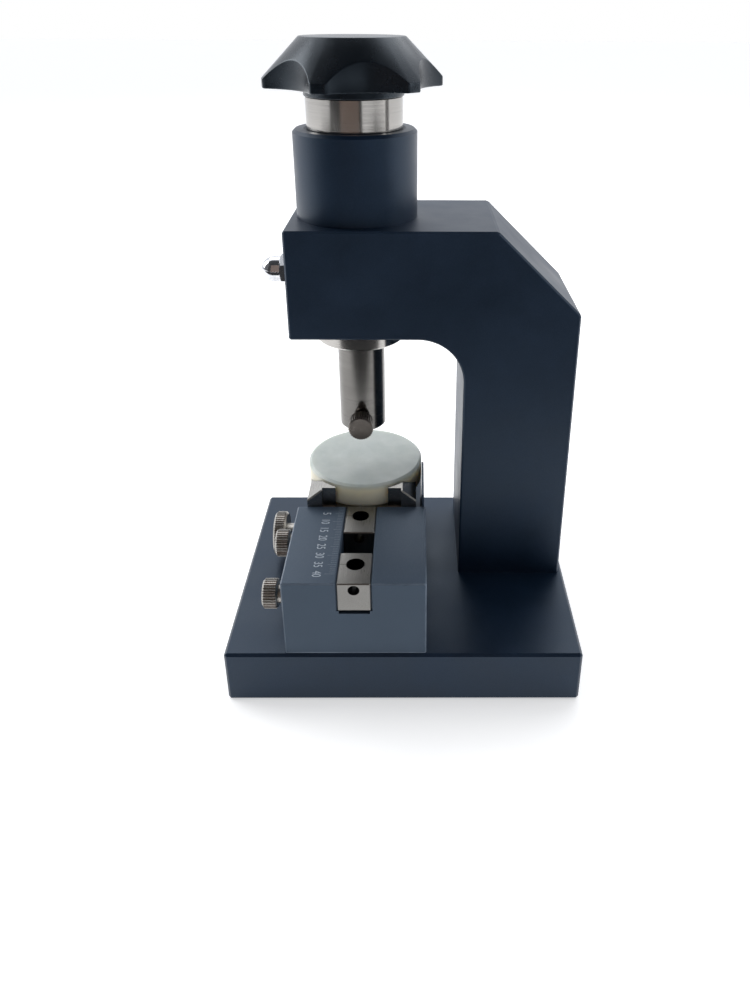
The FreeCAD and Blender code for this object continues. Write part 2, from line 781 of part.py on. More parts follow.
def make_holder_clamp_screw():
    """Small knurled screw in the quill, its round face to the front."""
    radius = value(S.holder_dia) / 2
    thread = value(f"{S.pinch_thread} - {S.thread_gap}")
    under_head = radius + value(S.pinch_head_gap)
    head = knurled_grip(value(S.pinch_head_dia), value(S.pinch_head_length),
                        value(S.pinch_tooth), value(S.pinch_head_edge))
    head.translate(FreeCAD.Vector(0, 0, under_head))
    tip = value(f"{S.punch_dia} / 2 + 3 * {S.thread_gap}")
    shank = cylinder(thread, under_head - tip + value(S.pinch_head_edge), tip)
    screw = head.fuse(shank).removeSplitter()
    finish_shape("holder_clamp_screw", lay_along(screw, -Y_AXIS), AXIS_X, AXIS_Y, PINCH_Z)


# ---------------------------------------------------------------- guide screw

def make_guide_screw():
    """A dog-point screw through the arm's left end into the ram's keyway."""
    root = value(f"{AXIS_X} - {S.ram_dia} / 2 - {ARM_LEFT}")
    shoulder = root - value(S.dog_shoulder_gap)
    outside = value(f"{S.nut_height} - {S.nut_roof}")
    screw = cylinder(value(S.guide_thread), outside + shoulder, -outside, X_AXIS)
    dog = cylinder(value(S.dog_dia), root + value(S.dog_length) - shoulder, shoulder, X_AXIS)
    screw = screw.fuse(dog)
    finish_shape("guide_screw", screw.removeSplitter(), ARM_LEFT, AXIS_Y, GUIDE_Z)


def make_acorn_nut():
    """A domed cap nut, hex against the arm and dome outwards."""
    thread = value(S.guide_thread)
    hex_height = value(S.nut_hex_height)
    dome = value(S.nut_dome_dia) / 2
    height = value(S.nut_height)
    corner = value(S.nut_flats) / 2 / math.cos(math.pi / 6)
    body = hexagon(corner, hex_height)
    slope = (corner - dome) * math.tan(math.pi / 6)
    foot = value(S.nut_foot_edge)
    blank = Part.Face(Part.makePolygon([
        FreeCAD.Vector(0, 0, 0),
        FreeCAD.Vector(corner - foot, 0, 0),
        FreeCAD.Vector(corner, 0, foot * math.tan(math.pi / 6)),
        FreeCAD.Vector(corner, 0, hex_height - slope),
        FreeCAD.Vector(dome, 0, hex_height),
        FreeCAD.Vector(0, 0, hex_height),
        FreeCAD.Vector(0, 0, 0),
    ])).revolve(NO_TURN, Z_AXIS, 360)
    body = body.common(blank)
    straight = height - dome
    body = body.fuse(cylinder(2 * dome, straight - hex_height + 1, hex_height - 1))
    ball = Part.makeSphere(dome, FreeCAD.Vector(0, 0, straight))
    body = body.fuse(ball).cut(cylinder(thread, height - value(S.nut_roof)))
    finish_shape("acorn_nut", lay_along(body.removeSplitter(), -X_AXIS),
                 ARM_LEFT, AXIS_Y, GUIDE_Z)


# ---------------------------------------------------------------- work block

def make_work_block():
    """A block with a ledged channel from front to back and two side screw holes."""
    body = new_body("work_block", AXIS_X, BLOCK_FRONT, BASE_TOP)
    front = new_sketch(body, "BlockFront", "XZ_Plane", lift=f"-{S.block_depth}")
    half = f"({S.block_width} / 2)"
    slot = f"({S.channel_width} / 2)"
    step = f"({slot} - {S.ledge_width})"
    floor = f"({S.block_height} - {S.channel_depth})"
    ledge = f"({floor} + {S.ledge_height})"
    outline(front, [
        (f"-{half}", "0"),
        (half, "0"),
        (half, S.block_height),
        (slot, S.block_height),
        (slot, ledge),
        (step, ledge),
        (step, floor),
        (f"-{step}", floor),
        (f"-{step}", ledge),
        (f"-{slot}", ledge),
        (f"-{slot}", S.block_height),
        (f"-{half}", S.block_height),
    ])
    pad(body, "BlockPad", front, S.block_depth)
    low = value(ledge)

    def outer_edge(edge):
        box = edge.BoundBox
        deep = box.ZMax < low + 0.01 and abs(edge.CenterOfMass.x) < value(slot) + 0.1
        return box.ZMax > 0.01 and not deep

    break_edges(body, "Chamfer", "BlockEdges", S.block_edge, outer_edge)
    rise = S.clamp_rise
    places = (S.clamp_front_inset, f"{S.block_depth} - {S.clamp_back_inset}")
    for number, along in enumerate(places, start=1):
        round_cut(body, f"ClampHole{number}", "YZ_Plane", along, rise, f"-{half}",
                  S.clamp_thread, f"{half} - {slot} + {S.hole_spare}", forward=True)
    for number, (x, y) in enumerate(BLOCK_SCREWS, start=1):
        round_cut(body, f"ScrewHole{number}", "XY_Plane", f"{x} - {AXIS_X}",
                  f"{y} - {BLOCK_FRONT}", "0", S.small_screw_dia,
                  f"{S.small_screw_grip} + 2 * {S.hole_spare}", forward=True)


def make_slider(label, back_end):
    """A steel slider, flush with the block's top, drilled from above and in front."""
    body = new_body(label, AXIS_X, back_end, SLIDER_BOTTOM)
    height = f"({S.channel_depth} - {S.ledge_height})"
    plan = new_sketch(body, "SliderPlan", "XY_Plane", "0", f"-{S.slider_length} / 2")
    rectangle(plan, f"{S.channel_width} - 2 * {S.slider_gap}", S.slider_length)
    pad(body, "SliderPad", plan, height)
    break_edges(body, "Chamfer", "SliderEdges", S.slider_edge, is_straight)
    round_cut(body, "TopHole", "XY_Plane", "0", f"-{S.slider_hole_inset}", height,
              S.slider_hole_dia, height)
    round_cut(body, "FrontHole", "XZ_Plane", "0", f"{height} - {S.slider_front_hole_drop}",
              S.slider_length, S.slider_front_hole_dia, S.slider_front_hole_depth)


def make_thumb_screw(label, reach, y):
    """A knurled head outside the block, a shank through its wall to the slider."""
    gap = value(S.clamp_head_gap)
    length = value(S.clamp_head_length)
    face = -gap - length
    head = knurled_grip(value(S.clamp_head_dia), length,
                        value(S.clamp_tooth), value(S.clamp_head_edge))
    head.translate(FreeCAD.Vector(0, 0, face))
    collar = cylinder(value(S.clamp_collar_dia), gap - 3 * value(S.thread_gap), -gap)
    shank = cylinder(value(f"{S.clamp_thread} - {S.thread_gap}"), value(reach) + gap, -gap)
    dimple_wide = value(S.clamp_head_dia) * 0.27
    dimple_deep = 0.5
    dimple = Part.makeCone(dimple_wide, dimple_wide - dimple_deep, dimple_deep,
                           FreeCAD.Vector(0, 0, face), Z_AXIS)
    screw = head.fuse([collar, shank]).cut(dimple).removeSplitter()
    finish_shape(label, lay_along(screw, X_AXIS), BLOCK_LEFT, y, CLAMP_Z)


# ---------------------------------------------------------------- vise

def make_vise_body():
    """The dark carrier behind the block, slotted for the moving jaw's tongues."""
    body = new_body("vise_body", VISE_LEFT, VISE_FRONT, BASE_TOP)
    width = f"({VISE_RIGHT} - {VISE_LEFT})"
    plan = new_sketch(body, "VisePlan", "XY_Plane", f"{width} / 2", f"{S.vise_depth} / 2")
    rectangle(plan, width, S.vise_depth)
    pad(body, "VisePad", plan, S.vise_height)
    break_edges(body, "Chamfer", "ViseEdges", S.block_edge, is_straight)
    slot_width = f"({S.tongue_width} + 2 * {S.tongue_side_gap})"
    for number, along in enumerate((S.screw_inset, S.rod_inset), start=1):
        slot = new_sketch(body, f"SlotSketch{number}", "XY_Plane",
                          f"{S.vise_wall} + {SLOT_LENGTH} / 2", along, S.vise_height)
        rectangle(slot, SLOT_LENGTH, slot_width)
        pocket(body, f"Slot{number}", slot, f"{S.tongue_depth} + {S.tongue_foot_gap}")
        bore = f"({S.spindle_dia} + 2 * {S.running_gap})" if number == 1 else S.spindle_dia
        round_cut(body, f"ShaftBore{number}", "YZ_Plane", along,
                  f"{S.vise_height} - {S.screw_drop}", "0", bore,
                  f"2 * {S.vise_wall} + {SLOT_LENGTH}", forward=True)
    for number, (x, y) in enumerate(VISE_SCREWS, start=1):
        round_cut(body, f"ScrewHole{number}", "XY_Plane", f"{x} - {VISE_LEFT}",
                  f"{y} - {VISE_FRONT}", "0", S.small_screw_dia,
                  f"{S.vise_screw_grip} + {S.hole_spare}", forward=True)
    for number, side in enumerate(("-", "+"), start=1):
        round_cut(body, f"FenceHole{number}", "YZ_Plane",
                  f"{S.fence_length} / 2 {side} {S.fence_screw_spread} / 2",
                  f"{S.vise_height} / 2", width, S.jaw_screw_dia,
                  f"{S.jaw_screw_grip} + {S.hole_spare}")
    for number, along in enumerate(RIGHT_JAW_SCREWS_Y, start=1):
        round_cut(body, f"JawHole{number}", "XY_Plane",
                  f"{S.jaw_reach} + {RIGHT_JAW_SCREW_X}", along, S.vise_height,
                  S.jaw_screw_dia, f"{S.jaw_screw_grip} + {S.hole_spare}")


# The fixed jaw's screws, measured from the press axis and from the vise's front.
RIGHT_JAW_SCREW_X = f"({S.jaw_split} / 2 + {S.jaw_screw_inset})"
RIGHT_JAW_SCREWS_Y = [
    f"({S.jaw_ledge_depth} / 2 {side} {S.jaw_screw_spread} / 2)" for side in ("-", "+")]


def jaw_solid(side):
    """One jaw on the vise's top, side -1 left or +1 right of the axis.

    A ledge carries the pad. In front of the pad a lip and, further out, a tab with a
    sloped shoulder stand on it at one height, hollowed by the pad's own circle.
    """
    reach = value(S.jaw_reach)
    split = value(S.jaw_split) / 2
    ledge = value(S.jaw_ledge_height)
    depth = value(S.jaw_ledge_depth)
    lip_front = value(S.jaw_lip_inset)
    lip_start = value(S.jaw_lip_start)
    tab_start = value(S.jaw_tab_start)
    top = ledge + value(S.jaw_top_height)
    slope_start = value(S.jaw_slope_start)
    slope_foot = top - value(S.jaw_slope_drop)
    hollow = value(f"{S.pad_dia} / 2 + {S.pad_lip_gap}")
    pad_x = value(S.pad_side_shift) * side
    pad_y = value(f"{PAD_Y} - {VISE_FRONT}")
    jaw = Part.makeBox(reach - split, depth, ledge, FreeCAD.Vector(split, 0, 0))
    lip = Part.makeBox(tab_start - lip_start, pad_y - lip_front, value(S.jaw_top_height),
                       FreeCAD.Vector(lip_start, lip_front, ledge))
    section = Part.Face(Part.makePolygon([
        FreeCAD.Vector(tab_start, 0, ledge),
        FreeCAD.Vector(reach, 0, ledge),
        FreeCAD.Vector(reach, 0, slope_foot),
        FreeCAD.Vector(slope_start, 0, top),
        FreeCAD.Vector(tab_start, 0, top),
        FreeCAD.Vector(tab_start, 0, ledge),
    ]))
    tab = section.extrude(FreeCAD.Vector(0, pad_y, 0))
    slope = [edge for edge in tab.Edges
             if edge.BoundBox.YMax < 0.01
             and near(edge.BoundBox.XLength, reach - slope_start)]
    tab = tab.makeChamfer(value(S.jaw_tab_edge), slope)
    nest = Part.makeCylinder(hollow, top, FreeCAD.Vector(pad_x, pad_y, ledge))
    above = lip.fuse(tab).cut(nest)
    jaw = jaw.fuse(above).removeSplitter()
    if side < 0:
        jaw = jaw.mirror(NO_TURN, X_AXIS)
    return jaw


def make_right_jaw():
    """The fixed jaw, screwed to the vise body under the pad."""
    jaw = jaw_solid(1)
    top = value(S.jaw_ledge_height)
    sink = value(S.jaw_screw_sink)
    hole = value(f"({S.jaw_screw_dia} + {S.screw_clearance}) / 2")
    seat = value(f"({S.jaw_screw_head} + {S.screw_clearance}) / 2")
    for along in RIGHT_JAW_SCREWS_Y:
        spot = FreeCAD.Vector(value(RIGHT_JAW_SCREW_X), value(along), 0)
        jaw = jaw.cut(Part.makeCylinder(hole, top, spot))
        jaw = jaw.cut(Part.makeCylinder(seat, sink, spot + FreeCAD.Vector(0, 0, top - sink)))
    finish_shape("right_jaw", jaw, AXIS_X, VISE_FRONT, VISE_TOP)


def make_left_jaw():
    """The moving jaw: one tongue is the screw's nut, the other runs on the rod."""
    jaw = jaw_solid(-1)
    reach = value(S.jaw_reach)
    start = value(f"{S.vise_wall} + {S.jaw_travel} + {S.collar_length}"
                  f" + {S.tongue_rest_gap}") - reach
    drop = value(S.tongue_depth)
    length = value(S.tongue_length)
    width = value(S.tongue_width)
    shaft_z = -value(f"{S.screw_drop} + {S.pad_rest_gap}")
    bore = value(f"{S.spindle_dia} / 2 + {S.running_gap}")
    for inset in (S.screw_inset, S.rod_inset):
        y = value(inset)
        corner = FreeCAD.Vector(start, y - width / 2, -drop)
        jaw = jaw.fuse(Part.makeBox(length, width, drop + 1, corner))
        hole = Part.makeCylinder(bore, length + 2, FreeCAD.Vector(start - 1, y, shaft_z), X_AXIS)
        jaw = jaw.cut(hole)
    finish_shape("left_jaw", jaw.removeSplitter(), AXIS_X, VISE_FRONT, JAW_BOTTOM)


def shaft_length():
    """From the vise's left face to the end of the blind bearing past the slot."""
    return value(f"2 * {S.vise_wall} + {SLOT_LENGTH} - 3 * {S.thread_gap}")


def make_jaw_screw():
    """Plain spindle of the vise, from the knob to the bearing past the slot."""
    outside = value(f"{S.jaw_knob_standoff} + {S.jaw_knob_length} - {S.jaw_knob_face}")
    spindle = cylinder(value(S.spindle_dia), outside + shaft_length(), -outside, X_AXIS)
    finish_shape("jaw_screw", spindle, VISE_LEFT, SPINDLE_Y, SPINDLE_Z)


def make_guide_rod():
    """A pressed rod beside the spindle that keeps the moving jaw square."""
    rod = cylinder(value(S.spindle_dia), shaft_length(), 0.0, X_AXIS)
    finish_shape("guide_rod", rod, VISE_LEFT, ROD_Y, SPINDLE_Z)


def make_screw_collar():
    """A ring pinned to the spindle inside the slot, which keeps it from pulling out."""
    wall = value(S.vise_wall)
    length = value(S.collar_length)
    ring = cylinder(value(S.collar_dia), length, wall + value(S.collar_side_gap), X_AXIS)
    ring = ring.cut(cylinder(value(S.spindle_dia), length + wall, wall - 1, X_AXIS))
    finish_shape("screw_collar", ring, VISE_LEFT, SPINDLE_Y, SPINDLE_Z)


def make_jaw_knob():
    """Large knurled knob with a hub that runs against the vise body."""
    standoff = value(S.jaw_knob_standoff)
    length = value(S.jaw_knob_length)
    head = knurled_grip(value(S.jaw_knob_dia), length,
                        value(S.jaw_knob_tooth), value(S.jaw_knob_edge))
    head.translate(FreeCAD.Vector(0, 0, -standoff - length))
    hub = cylinder(value(S.jaw_knob_hub_dia), standoff - value(S.thread_gap), -standoff)
    deep = standoff + length - value(S.jaw_knob_face)
    bore = cylinder(value(S.spindle_dia), deep, -deep)
    knob = head.fuse(hub).cut(bore).removeSplitter()
    finish_shape("jaw_knob", lay_along(knob, X_AXIS), VISE_LEFT, SPINDLE_Y, SPINDLE_Z)


def make_pad_fence():
    """A thin upright plate on the vise's right face, which the pad stops against."""
    body = new_body("pad_fence", VISE_RIGHT, VISE_FRONT, BASE_TOP)
    side = new_sketch(body, "FenceSide", "YZ_Plane",
                      f"{S.fence_length} / 2", f"{S.fence_height} / 2 + {S.fence_lift}")
    rectangle(side, S.fence_length, S.fence_height)
    pad(body, "FencePad", side, S.fence_thick)
    for number, sign in enumerate(("-", "+"), start=1):
        round_cut(body, f"Hole{number}", "YZ_Plane",
                  f"{S.fence_length} / 2 {sign} {S.fence_screw_spread} / 2",
                  f"{S.vise_height} / 2", "0",
                  f"{S.jaw_screw_dia} + {S.screw_clearance}", S.fence_thick, forward=True)


def make_nylon_pad():
    """The round anvil pad, both rims bevelled."""
    body = new_body("nylon_pad", PAD_X, PAD_Y, PAD_BOTTOM)
    radius = f"({S.pad_dia} / 2)"
    revolve(body, "Disc", [
        ("0", "0"),
        (f"{radius} - {S.pad_edge}", "0"),
        (radius, S.pad_edge),
        (radius, f"{S.pad_thick} - {S.pad_edge}"),
        (f"{radius} - {S.pad_edge}", S.pad_thick),
        ("0", S.pad_thick),
    ])


# ---------------------------------------------------------------- fasteners

def screw_group(label, places, dia, head, head_height, grip, z):
    """Identical upward screws, kept as separate solids of one sub-part."""
    screws = []
    for x, y in places:
        screw = cap_screw(value(dia), value(head), value(head_height), value(grip))
        screw.translate(FreeCAD.Vector(value(x), value(y), 0))
        screws.append(screw)
    finish_shape(label, Part.makeCompound(screws), "0", "0", z)


def make_base_screws():
    """Cap screws from below, their heads sunk in the base plate."""
    through = f"({S.base_thick} - {S.head_pocket})"
    screw_group("frame_screws", FRAME_SCREWS, S.frame_screw_dia, S.frame_screw_head,
                S.frame_screw_head_height, f"{through} + {S.frame_screw_grip}",
                S.head_pocket)
    screw_group("block_screws", BLOCK_SCREWS, S.small_screw_dia, S.small_screw_head,
                S.small_screw_head_height, f"{through} + {S.small_screw_grip}",
                S.head_pocket)
    screw_group("vise_screws", VISE_SCREWS, S.small_screw_dia, S.small_screw_head,
                S.small_screw_head_height, f"{through} + {S.vise_screw_grip}",
                S.head_pocket)


def make_right_jaw_screws():
    """Two small screws down through the fixed jaw, heads below its ledge."""
    screws = []
    thread = value(S.jaw_screw_dia)
    sink = value(S.jaw_screw_sink)
    grip = value(f"{S.jaw_ledge_height} + {S.jaw_screw_grip}") - sink
    for along in RIGHT_JAW_SCREWS_Y:
        screw = cap_screw(thread, value(S.jaw_screw_head), thread, grip)
        screw.rotate(NO_TURN, X_AXIS, 180)
        screw.translate(FreeCAD.Vector(value(RIGHT_JAW_SCREW_X), value(along), -sink))
        screws.append(screw)
    finish_shape("right_jaw_screws", Part.makeCompound(screws), AXIS_X, VISE_FRONT, LEDGE_TOP)


def make_fence_screws():
    """Two low-head screws that hold the fence plate to the vise body."""
    screws = []
    for sign in (-1, 1):
        screw = cap_screw(value(S.jaw_screw_dia), value(S.jaw_screw_head),
                          value(S.fence_screw_head_height),
                          value(f"{S.fence_thick} + {S.jaw_screw_grip}"))
        screw = lay_along(screw, -X_AXIS)
        along = value(S.fence_length) / 2 + sign * value(S.fence_screw_spread) / 2
        screw.translate(FreeCAD.Vector(0, along, value(S.vise_height) / 2))
        screws.append(screw)
    finish_shape("fence_screws", Part.makeCompound(screws),
                 f"{VISE_RIGHT} + {S.fence_thick}", VISE_FRONT, BASE_TOP)


# ---------------------------------------------------------------- build

make_base_plate()
make_c_frame()
make_guide_sleeve()
make_ram()
make_ram_cap()
make_return_spring()
make_hand_knob()
make_punch_holder()
make_holder_clamp_screw()
make_guide_screw()
make_acorn_nut()
make_work_block()
make_slider("front_slider", f"{BLOCK_FRONT} + {S.slider_length}")
make_slider("rear_slider", BLOCK_BACK)
CLAMP_REACH = f"(({S.block_width} - {S.channel_width}) / 2 - {S.slider_gap})"
make_thumb_screw("front_clamp_screw", CLAMP_REACH, f"{BLOCK_FRONT} + {S.clamp_front_inset}")
make_thumb_screw("rear_clamp_screw", CLAMP_REACH, f"{BLOCK_BACK} - {S.clamp_back_inset}")
make_vise_body()
make_right_jaw()
make_left_jaw()
make_jaw_screw()
make_guide_rod()
make_screw_collar()
make_jaw_knob()
make_pad_fence()
make_nylon_pad()
make_base_screws()
make_right_jaw_screws()
make_fence_screws()
doc.recompute()

for thing in doc.Objects:
    if "Invalid" in thing.State or "Error" in thing.State:
        raise RuntimeError(f"{thing.Name}: {thing.State}")
for piece in finished:
    if piece.Shape.isNull() or not piece.Shape.isValid():
        raise RuntimeError(f"{piece.Label}: bad shape")

os.makedirs("parts", exist_ok=True)
for piece in finished:
    piece.Shape.exportStep(f"parts/{piece.Label}.step")
    box = piece.Shape.BoundBox
    print(f"{piece.Label}: {len(piece.Shape.Solids)} solid, {piece.Shape.Volume:.0f} mm3, "
          f"x {box.XMin:.2f}..{box.XMax:.2f} y {box.YMin:.2f}..{box.YMax:.2f} "
          f"z {box.ZMin:.2f}..{box.ZMax:.2f}")
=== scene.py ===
import math

import bmesh
import bpy
from mathutils import Matrix, Vector


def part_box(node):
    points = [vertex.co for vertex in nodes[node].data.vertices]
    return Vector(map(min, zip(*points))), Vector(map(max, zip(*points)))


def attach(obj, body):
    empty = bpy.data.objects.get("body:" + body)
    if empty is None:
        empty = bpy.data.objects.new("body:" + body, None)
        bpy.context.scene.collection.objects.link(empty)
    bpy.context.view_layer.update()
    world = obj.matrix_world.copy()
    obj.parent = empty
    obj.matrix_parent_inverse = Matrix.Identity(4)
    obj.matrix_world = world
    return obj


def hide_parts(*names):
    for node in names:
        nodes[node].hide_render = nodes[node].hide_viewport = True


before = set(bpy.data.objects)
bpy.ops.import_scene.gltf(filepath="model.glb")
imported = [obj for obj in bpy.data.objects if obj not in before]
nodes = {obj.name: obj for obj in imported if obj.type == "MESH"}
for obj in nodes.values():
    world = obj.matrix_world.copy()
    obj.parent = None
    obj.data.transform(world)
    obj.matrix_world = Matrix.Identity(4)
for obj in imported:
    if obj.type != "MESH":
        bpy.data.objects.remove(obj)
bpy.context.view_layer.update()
scene = bpy.context.scene
scene.view_settings.view_transform = "Standard"

MM = 0.001
TURN = 2 * math.pi
# Points closer than this, in metres, are the same point.
SAME_POINT = 1e-7
# A round takes at most this share of the sides that it joins.
MOST_OF_SIDE = 0.49


# ---------------------------------------------------------------- mesh helpers

def new_piece(name, bm, material, sharp_angle=32.0):
    """Turn a bmesh into a smooth-shaded object with its hard edges kept sharp."""
    bmesh.ops.remove_doubles(bm, verts=bm.verts, dist=SAME_POINT)
    bmesh.ops.recalc_face_normals(bm, faces=bm.faces)
    limit = math.radians(sharp_angle)
    for face in bm.faces:
        face.smooth = True
    for edge in bm.edges:
        if len(edge.link_faces) == 2:
            edge.smooth = edge.calc_face_angle(0.0) < limit
    mesh = bpy.data.meshes.new(name)
    bm.to_mesh(mesh)
    bm.free()
    piece = bpy.data.objects.new(name, mesh)
    scene.collection.objects.link(piece)
    mesh.materials.append(material)
    return piece


def rounded(profile, steps=4):
    """A closed profile of (radius, height, corner) with its corners rounded.

    Each corner value is the radius of that corner's round, 0 for a sharp one.
    """
    points = []
    count = len(profile)
    for number, (r, z, corner) in enumerate(profile):
        here = Vector((r, z))
        before = Vector(profile[number - 1][:2]) - here
        after = Vector(profile[(number + 1) % count][:2]) - here
        if corner <= 0:
            points.append(here)
            continue
        angle = before.angle(after)
        cut = min(corner / math.tan(angle / 2),
                  before.length * MOST_OF_SIDE, after.length * MOST_OF_SIDE)
        start = here + before.normalized() * cut
        end = here + after.normalized() * cut
        for step in range(steps + 1):
            share = step / steps
            low = start.lerp(here, share)
            high = here.lerp(end, share)
            points.append(low.lerp(high, share))
    return points


# ---------------------------------------------------------------- material helpers

def linear(hex_colour):
    """An sRGB hex colour as the linear RGBA that shaders take."""
    out = []
    for start in (1, 3, 5):
        level = int(hex_colour[start:start + 2], 16) / 255
        out.append(level / 12.92 if level <= 0.04045 else ((level + 0.055) / 1.055) ** 2.4)
    return (*out, 1.0)


def add(tree, kind, inputs=(), output=0, **settings):
    """Add a node and give one of its outputs.

    The inputs are a list in socket order or a dict by socket identifier; each is a
    value, an sRGB hex colour or another node's output.
    """
    made = tree.nodes.new(kind)
    for name, setting in settings.items():
        setattr(made, name, setting)
    by_name = {socket.identifier: socket for socket in made.inputs}
    pairs = inputs.items() if isinstance(inputs, dict) else enumerate(inputs)
    for key, given in pairs:
        socket = made.inputs[key] if isinstance(key, int) else by_name[key]
        if isinstance(given, bpy.types.NodeSocket):
            tree.links.new(given, socket)
        else:
            socket.default_value = linear(given) if isinstance(given, str) else given
    return made.outputs[output]


def new_material(name, **shader):
    """A material with a Principled shader, its plain values set on its own sockets."""
    material = bpy.data.materials.new(name)
    material.use_nodes = True
    tree = material.node_tree
    surface = tree.nodes["Principled BSDF"]
    for key, given in shader.items():
        surface.inputs[key.replace("_", " ")].default_value = given
    return material, tree, surface


def grain(tree, pitch, detail=3.0, roughness=0.6):
    """Noise whose grains measure pitch (x, y, z) millimetres."""
    scale = tuple(1 / (size * MM) for size in pitch)
    place = add(tree, "ShaderNodeTexCoord", output="Object")
    spread = add(tree, "ShaderNodeMapping", {"Vector": place, "Scale": scale})
    return add(tree, "ShaderNodeTexNoise", {
        "Vector": spread, "Scale": 1.0, "Detail": detail, "Roughness": roughness})


def shaded(tree, signal, span, share, first, second):
    """From first towards second by as much as share where the signal crosses span."""
    part = add(tree, "ShaderNodeMapRange", [signal, *span, 0.0, share])
    return add(tree, "ShaderNodeMix", {
        "Factor_Float": part, "A_Color": first, "B_Color": second}, 2, data_type="RGBA")


def glossed(tree, surface, signal, smooth, rough):
    """Let the signal vary the shader's roughness between two values."""
    varied = add(tree, "ShaderNodeMapRange", [signal, 0.3, 0.7, smooth, rough])
    tree.links.new(varied, surface.inputs["Roughness"])


def bumped(tree, surface, layers):
    """Stack bumps of (height, depth in millimetres, strength) on the shader's normal."""
    normal = None
    for height, depth, strength in layers:
        inputs = {"Height": height, "Distance": depth * MM, "Strength": strength}
        if normal is not None:
            inputs["Normal"] = normal
        normal = add(tree, "ShaderNodeBump", inputs)
    tree.links.new(normal, surface.inputs["Normal"])


def edge_share(tree, low, high, width):
    """1 along the edges of the box from low to high, 0 on its faces and inside.

    A point on an edge is close to two of the box's planes at once, a point on a face
    only to one, so the edge shows where the three closenesses add up past one.
    """
    place = add(tree, "ShaderNodeTexCoord", output="Object")
    total = 0.0
    for axis in range(3):
        middle = (low[axis] + high[axis]) / 2
        half = (high[axis] - low[axis]) / 2
        along = add(tree, "ShaderNodeSeparateXYZ", [place], axis)
        shifted = add(tree, "ShaderNodeMath", [along, middle], operation="SUBTRACT")
        away = add(tree, "ShaderNodeMath", [shifted], operation="ABSOLUTE")
        close = add(tree, "ShaderNodeMapRange",
                    [away, half - width * MM, half - width * MM * 0.2, 0.0, 1.0])
        total = add(tree, "ShaderNodeMath", [close, total], operation="ADD")
    return add(tree, "ShaderNodeMapRange", [total, 1.15, 1.75, 0.0, 1.0])


# The painted shade inside a bore fades out over this many millimetres round its mouth.
BORE_FADE = 0.12


def bore_share(tree, bores):
    """1 on the walls of bores given as (point, axis number, radius in millimetres)."""
    place = add(tree, "ShaderNodeTexCoord", output="Object")
    total = 0.0
    for point, axis, radius in bores:
        spread = [0.0 if other == axis else 1.0 for other in range(3)]
        flat = add(tree, "ShaderNodeVectorMath", [place, spread], operation="MULTIPLY")
        centre = [point[other] * spread[other] for other in range(3)]
        reach = add(tree, "ShaderNodeVectorMath", [flat, centre], "Value",
                    operation="DISTANCE")
        inside = add(tree, "ShaderNodeMapRange",
                     [reach, radius * MM, (radius + BORE_FADE) * MM, 1.0, 0.0])
        total = add(tree, "ShaderNodeMath", [inside, total], operation="ADD")
    return total


# ---------------------------------------------------------------- finishes

# The dyed oxide layer lends its blue to what the aluminium under it mirrors, and the
# gloss of the black moulded knob is a little cold too.
DYED_SHEEN = (0.60, 0.77, 0.98, 1.0)
MOULDED_SHEEN = (0.68, 0.84, 1.0, 1.0)
# The band along each edge where the dye has worn thin, in millimetres.
WORN_EDGE = 0.7


def anodised(name, low, high, body_hex, cloud_hex, bare_hex, gloss, wear=0.3):
    """Bead-blasted, dyed and sealed aluminium, worn paler along its edges.

    The blasting leaves pits of about 0.1 mm, which spread the light into a soft
    matt sheen; they are drawn at 0.3 mm so that they show.
    """
    material, tree, surface = new_material(
        name, Roughness=gloss, IOR=1.5, Specular_Tint=DYED_SHEEN)
    pits = grain(tree, (0.3, 0.3, 0.3), 2.0, 0.5)
    clouds = grain(tree, (18.0, 18.0, 18.0), 3.0, 0.55)
    rubbed = grain(tree, (9.0, 9.0, 9.0), 3.0, 0.6)
    colour = shaded(tree, clouds, (0.3, 0.7), 1.0, body_hex, cloud_hex)
    colour = shaded(tree, pits, (0.35, 0.75), 0.08, colour, bare_hex)
    edge = edge_share(tree, low, high, WORN_EDGE)
    patchy = add(tree, "ShaderNodeMapRange", [rubbed, 0.35, 0.65, 0.5, 1.0])
    worn = add(tree, "ShaderNodeMath", [edge, patchy], operation="MULTIPLY")
    colour = shaded(tree, worn, (0.0, 1.0), wear, colour, bare_hex)
    tree.links.new(colour, surface.inputs["Base Color"])
    glossed(tree, surface, clouds, gloss - 0.04, gloss + 0.05)
    bumped(tree, surface, [(pits, 0.03, 0.35), (clouds, 0.25, 0.04)])
    return material


def cut_steel(name, pitch, bright_hex, dull_hex, gloss, depth, strength, bores=()):
    """Bright steel with the fine parallel marks that its grinding or turning left.

    Marks of a few hundredths of a millimetre are drawn at the pitch given, coarse
    enough to show, long along the way the tool ran. The walls of small drilled holes
    are painted nearly black: painted shade, with some old oil.
    """
    material, tree, surface = new_material(name, Metallic=1.0, Roughness=gloss)
    marks = grain(tree, pitch, 4.0, 0.65)
    smudges = grain(tree, (14.0, 14.0, 14.0), 2.0, 0.5)
    colour = shaded(tree, marks, (0.25, 0.75), 0.6, bright_hex, dull_hex)
    colour = shaded(tree, smudges, (0.45, 0.7), 0.2, colour, dull_hex)
    if bores:
        # Painted shade, with some old oil, turns the walls of the holes nearly black.
        colour = shaded(tree, bore_share(tree, bores), (0.0, 1.0), 0.93,
                        colour, "#141416")
    tree.links.new(colour, surface.inputs["Base Color"])
    glossed(tree, surface, marks, gloss - 0.04, gloss + 0.06)
    bumped(tree, surface, [(marks, depth, strength)])
    return material


